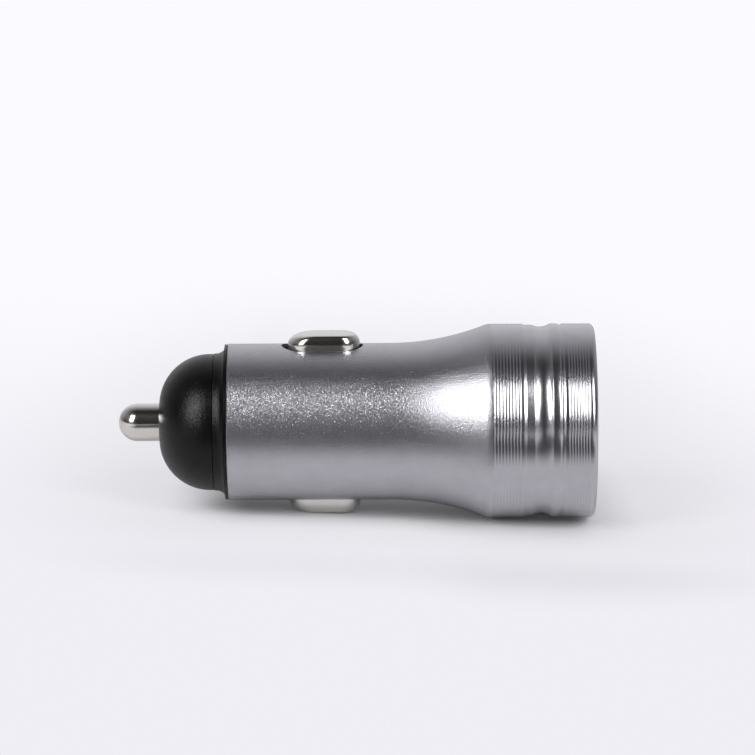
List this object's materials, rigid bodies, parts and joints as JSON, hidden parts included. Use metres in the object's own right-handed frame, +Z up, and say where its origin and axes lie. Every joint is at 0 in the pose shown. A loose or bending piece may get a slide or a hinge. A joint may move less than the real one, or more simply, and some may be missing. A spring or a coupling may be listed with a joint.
{
  "type": "car usb charger plug",
  "caption": "Plug for a car's lighter socket, with a sprung centre pin, sprung side contacts and a ringed metal head that holds stacked USB ports.",
  "frame": {"origin": "on the plug's axis, in the plane where the straight barrel ends and the flare starts, which comes to the mouth of the car's socket", "axes": "+X along the plug's axis, from the centre pin towards the ports; +Z up through the upper side contact; +Y completes the right-handed frame"},
  "size_m": [0.0631, 0.0258, 0.0258],
  "materials": {
    "anodised_aluminium": "bead-blasted and anodised grey",
    "black_plastic": "matte moulded",
    "nickel_plate": "bright nickel",
    "spring_wire": "drawn wire",
    "tin_plate": "dull tin",
    "white_plastic": "moulded",
    "board_green": "solder mask",
    "port_steel": "nickel-plated sheet",
    "gold_flash": "gold flash",
    "ferrite": "matte sintered",
    "copper_wire": "enamelled",
    "can_sleeve": "drawn can",
    "rubber_bung": "matte",
    "yellow_moulding": "moulded",
    "chip_black": "moulded",
    "fuse_green": "moulded",
    "resistor_black": "glazed film"
  },
  "bodies": {
    "housing": {"barrel_shell": "anodised_aluminium", "nose_cap": "black_plastic", "pin_spring": "spring_wire", "pin_terminal": "tin_plate", "contact_carrier": "white_plastic", "side_spring_upper": "spring_wire", "side_spring_lower": "spring_wire", "circuit_board": "board_green", "face_plate": "black_plastic", "port_shell_upper": "port_steel", "port_shell_lower": "port_steel", "port_tongue_upper": "white_plastic", "port_tongue_lower": "white_plastic", "port_pins_upper": "gold_flash", "port_pins_lower": "gold_flash", "choke_core": "ferrite", "choke_winding": "copper_wire", "input_capacitor": "can_sleeve", "capacitor_bung": "rubber_bung", "capacitor_leads": "tin_plate", "output_capacitor": "yellow_moulding", "converter_chip": "chip_black", "chip_leads": "tin_plate", "input_fuse": "fuse_green", "chip_resistors": "resistor_black"},
    "pin": {"centre_pin": "nickel_plate"},
    "upper_contact": {"side_contact_upper": "nickel_plate"},
    "lower_contact": {"side_contact_lower": "nickel_plate"}
  },
  "joints": [
    {"name": "pin_slide", "type": "slide", "parent": "housing", "child": "pin", "axis": [1, 0, 0], "range_m": [0, 0.0025], "stiffness_N_per_m": 1000, "springref_m": -0.0005, "deforming": ["pin_spring"]},
    {"name": "upper_contact_slide", "type": "slide", "parent": "housing", "child": "upper_contact", "axis": [0, 0, -1], "range_m": [0, 0.0015], "stiffness_N_per_m": 600, "springref_m": -0.0005, "deforming": ["side_spring_upper"]},
    {"name": "lower_contact_slide", "type": "slide", "parent": "housing", "child": "lower_contact", "axis": [0, 0, 1], "range_m": [0, 0.0015], "stiffness_N_per_m": 600, "springref_m": -0.0005, "deforming": ["side_spring_lower"]}
  ]
}
